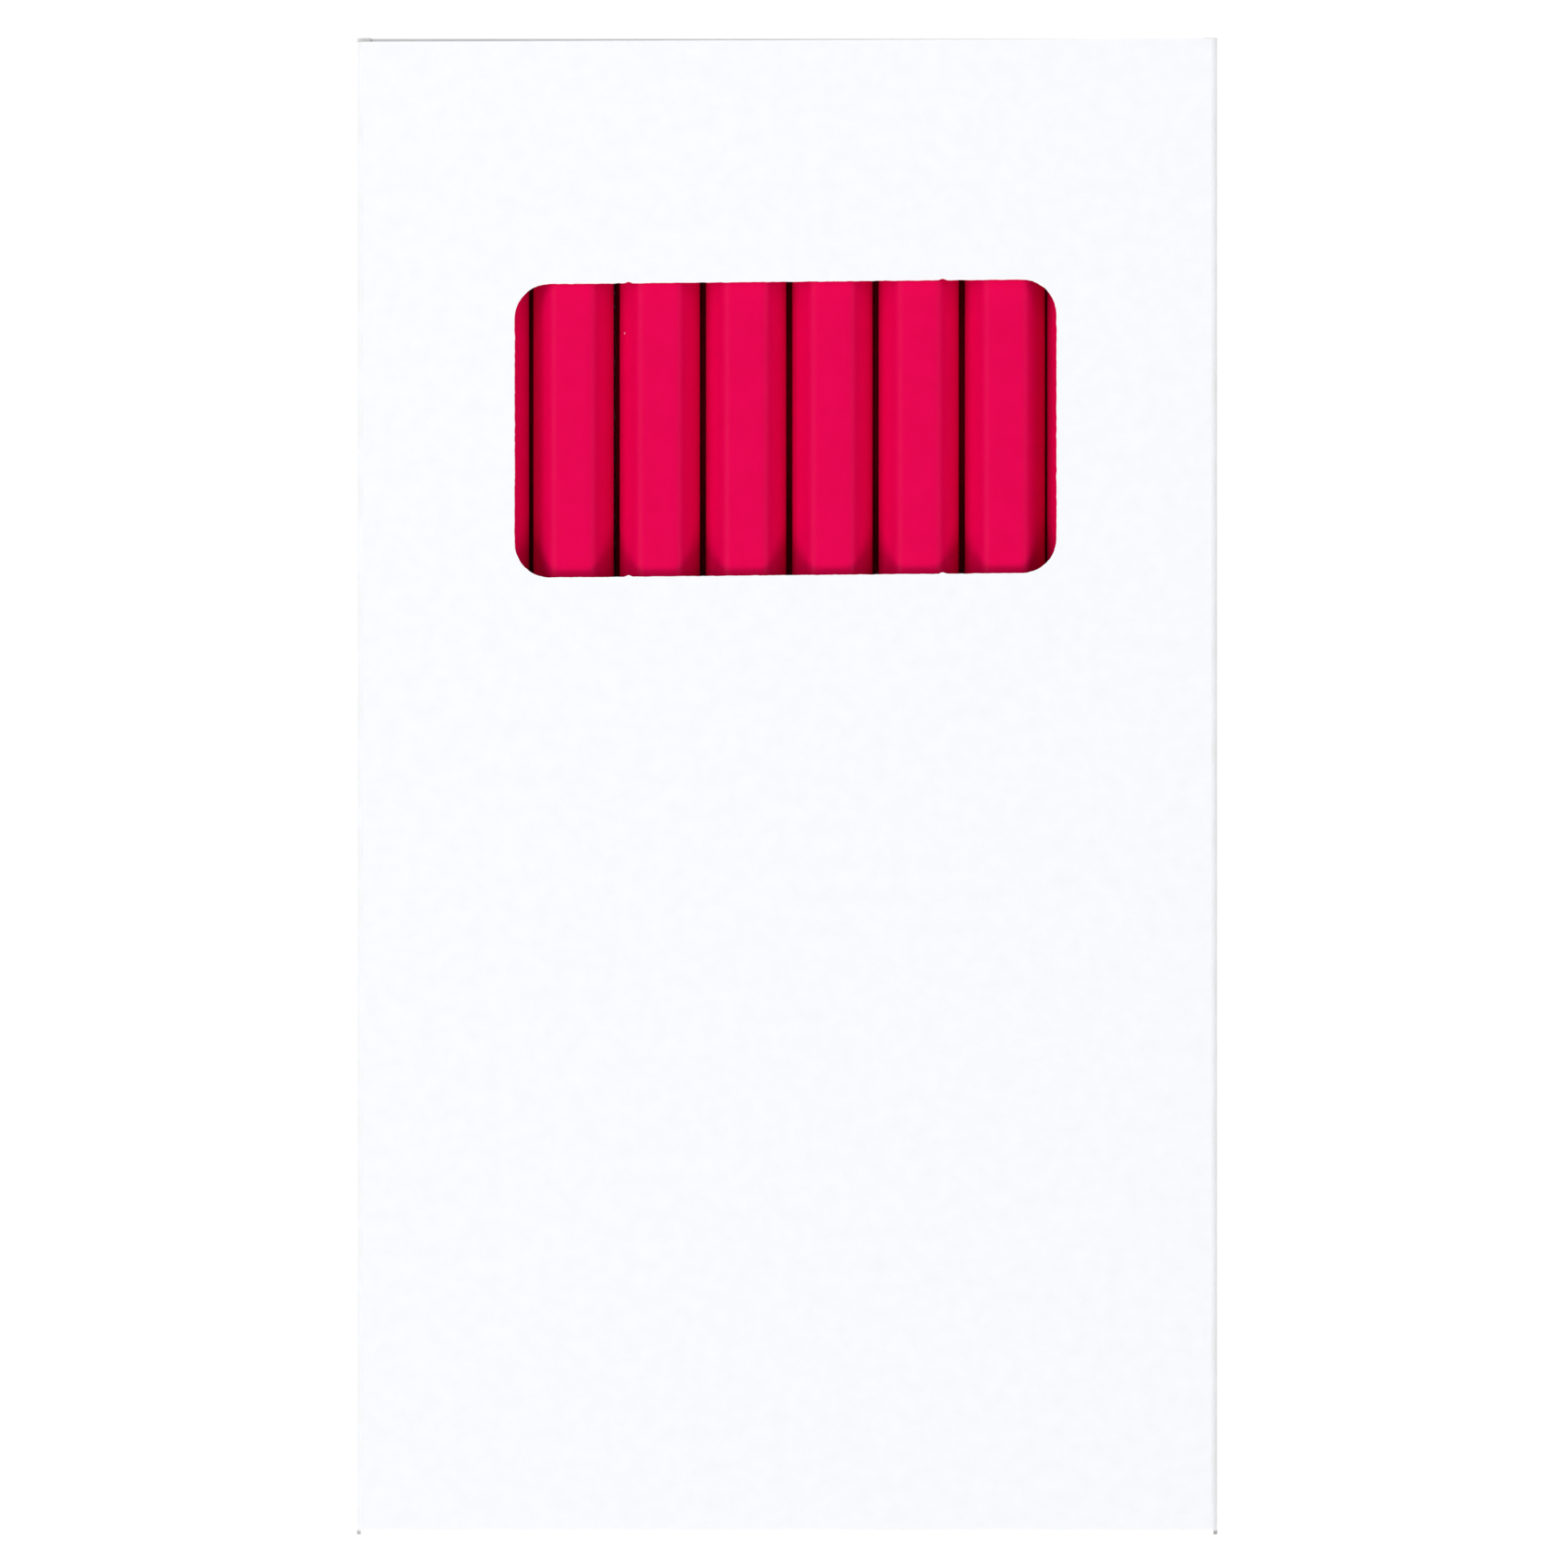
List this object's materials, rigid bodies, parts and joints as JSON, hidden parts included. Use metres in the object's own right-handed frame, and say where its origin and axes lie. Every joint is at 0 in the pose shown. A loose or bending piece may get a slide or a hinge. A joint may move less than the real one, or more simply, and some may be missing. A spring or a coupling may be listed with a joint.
{
  "type": "windowed crayon carton",
  "caption": "White folding carton with a die-cut window and a hinged tuck lid, filled with unwrapped hexagonal magenta-red crayons that slide.",
  "frame": {"origin": "centre of the back panel's outer face, which the carton lies on", "axes": "+Z out of the window, +Y towards the tuck lid, +X to the right as seen from the window side"},
  "size_m": [0.0818, 0.1422, 0.0158],
  "materials": {
    "white_board": "smooth coated folding board with a satin white face",
    "magenta_wax": "smooth pressed wax with a soft satin sheen"
  },
  "bodies": {
    "carton": {"front_panel": "white_board", "back_panel": "white_board", "left_side_panel": "white_board", "right_side_panel": "white_board", "glue_flap": "white_board", "bottom_outer_flap": "white_board", "bottom_inner_flap": "white_board", "bottom_dust_flap_left": "white_board", "bottom_dust_flap_right": "white_board"},
    "tuck_lid": {"tuck_lid": "white_board"},
    "tuck_tongue": {"tuck_tongue": "white_board"},
    "top_dust_flap_left": {"top_dust_flap_left": "white_board"},
    "top_dust_flap_right": {"top_dust_flap_right": "white_board"},
    "crayon_01": {"crayon_01": "magenta_wax"},
    "crayon_02": {"crayon_02": "magenta_wax"},
    "crayon_03": {"crayon_03": "magenta_wax"},
    "crayon_04": {"crayon_04": "magenta_wax"},
    "crayon_05": {"crayon_05": "magenta_wax"},
    "crayon_06": {"crayon_06": "magenta_wax"},
    "crayon_07": {"crayon_07": "magenta_wax"},
    "crayon_08": {"crayon_08": "magenta_wax"},
    "crayon_09": {"crayon_09": "magenta_wax"},
    "crayon_10": {"crayon_10": "magenta_wax"},
    "crayon_11": {"crayon_11": "magenta_wax"},
    "crayon_12": {"crayon_12": "magenta_wax"},
    "crayon_13": {"crayon_13": "magenta_wax"},
    "crayon_14": {"crayon_14": "magenta_wax"},
    "crayon_15": {"crayon_15": "magenta_wax"},
    "crayon_16": {"crayon_16": "magenta_wax"},
    "crayon_17": {"crayon_17": "magenta_wax"},
    "crayon_18": {"crayon_18": "magenta_wax"},
    "crayon_19": {"crayon_19": "magenta_wax"},
    "crayon_20": {"crayon_20": "magenta_wax"}
  },
  "joints": [
    {"name": "lid_hinge", "type": "hinge", "parent": "carton", "child": "tuck_lid", "pos_m": [0, 0.07094, 0.00021], "axis": [-1, 0, 0], "range_deg": [0, 90]},
    {"name": "tongue_crease", "type": "hinge", "parent": "tuck_lid", "child": "tuck_tongue", "pos_m": [0, 0.07094, 0.01505], "axis": [1, 0, 0], "range_deg": [0, 49.5]},
    {"name": "dust_flap_left_crease", "type": "hinge", "parent": "carton", "child": "top_dust_flap_left", "pos_m": [-0.04069, 0.07021, 0.0077], "axis": [0, 0, 1], "range_deg": [0, 31.5]},
    {"name": "dust_flap_right_crease", "type": "hinge", "parent": "carton", "child": "top_dust_flap_right", "pos_m": [0.04069, 0.07021, 0.0077], "axis": [0, 0, -1], "range_deg": [0, 31.5]},
    {"name": "crayon_01_slide", "type": "slide", "parent": "carton", "child": "crayon_01", "axis": [0, 1, 0], "range_m": [0, 0.0015]},
    {"name": "crayon_02_slide", "type": "slide", "parent": "carton", "child": "crayon_02", "axis": [0, 1, 0], "range_m": [0, 0.0015]},
    {"name": "crayon_03_slide", "type": "slide", "parent": "carton", "child": "crayon_03", "axis": [0, 1, 0], "range_m": [0, 0.0015]},
    {"name": "crayon_04_slide", "type": "slide", "parent": "carton", "child": "crayon_04", "axis": [0, 1, 0], "range_m": [0, 0.0015]},
    {"name": "crayon_05_slide", "type": "slide", "parent": "carton", "child": "crayon_05", "axis": [0, 1, 0], "range_m": [0, 0.0015]},
    {"name": "crayon_06_slide", "type": "slide", "parent": "carton", "child": "crayon_06", "axis": [0, 1, 0], "range_m": [0, 0.0015]},
    {"name": "crayon_07_slide", "type": "slide", "parent": "carton", "child": "crayon_07", "axis": [0, 1, 0], "range_m": [0, 0.0015]},
    {"name": "crayon_08_slide", "type": "slide", "parent": "carton", "child": "crayon_08", "axis": [0, 1, 0], "range_m": [0, 0.0015]},
    {"name": "crayon_09_slide", "type": "slide", "parent": "carton", "child": "crayon_09", "axis": [0, 1, 0], "range_m": [0, 0.0015]},
    {"name": "crayon_10_slide", "type": "slide", "parent": "carton", "child": "crayon_10", "axis": [0, 1, 0], "range_m": [0, 0.0015]},
    {"name": "crayon_11_slide", "type": "slide", "parent": "carton", "child": "crayon_11", "axis": [0, 1, 0], "range_m": [0, 0.0015]},
    {"name": "crayon_12_slide", "type": "slide", "parent": "carton", "child": "crayon_12", "axis": [0, 1, 0], "range_m": [0, 0.0015]},
    {"name": "crayon_13_slide", "type": "slide", "parent": "carton", "child": "crayon_13", "axis": [0, 1, 0], "range_m": [0, 0.0015]},
    {"name": "crayon_14_slide", "type": "slide", "parent": "carton", "child": "crayon_14", "axis": [0, 1, 0], "range_m": [0, 0.0015]},
    {"name": "crayon_15_slide", "type": "slide", "parent": "carton", "child": "crayon_15", "axis": [0, 1, 0], "range_m": [0, 0.0015]},
    {"name": "crayon_16_slide", "type": "slide", "parent": "carton", "child": "crayon_16", "axis": [0, 1, 0], "range_m": [0, 0.0015]},
    {"name": "crayon_17_slide", "type": "slide", "parent": "carton", "child": "crayon_17", "axis": [0, 1, 0], "range_m": [0, 0.0015]},
    {"name": "crayon_18_slide", "type": "slide", "parent": "carton", "child": "crayon_18", "axis": [0, 1, 0], "range_m": [0, 0.0015]},
    {"name": "crayon_19_slide", "type": "slide", "parent": "carton", "child": "crayon_19", "axis": [0, 1, 0], "range_m": [0, 0.0015]},
    {"name": "crayon_20_slide", "type": "slide", "parent": "carton", "child": "crayon_20", "axis": [0, 1, 0], "range_m": [0, 0.0015]}
  ],
  "couplings": [
    {"joint": "tongue_crease", "follows": "lid_hinge", "ratio": 0.55},
    {"joint": "dust_flap_left_crease", "follows": "lid_hinge", "ratio": 0.35},
    {"joint": "dust_flap_right_crease", "follows": "lid_hinge", "ratio": 0.35}
  ]
}
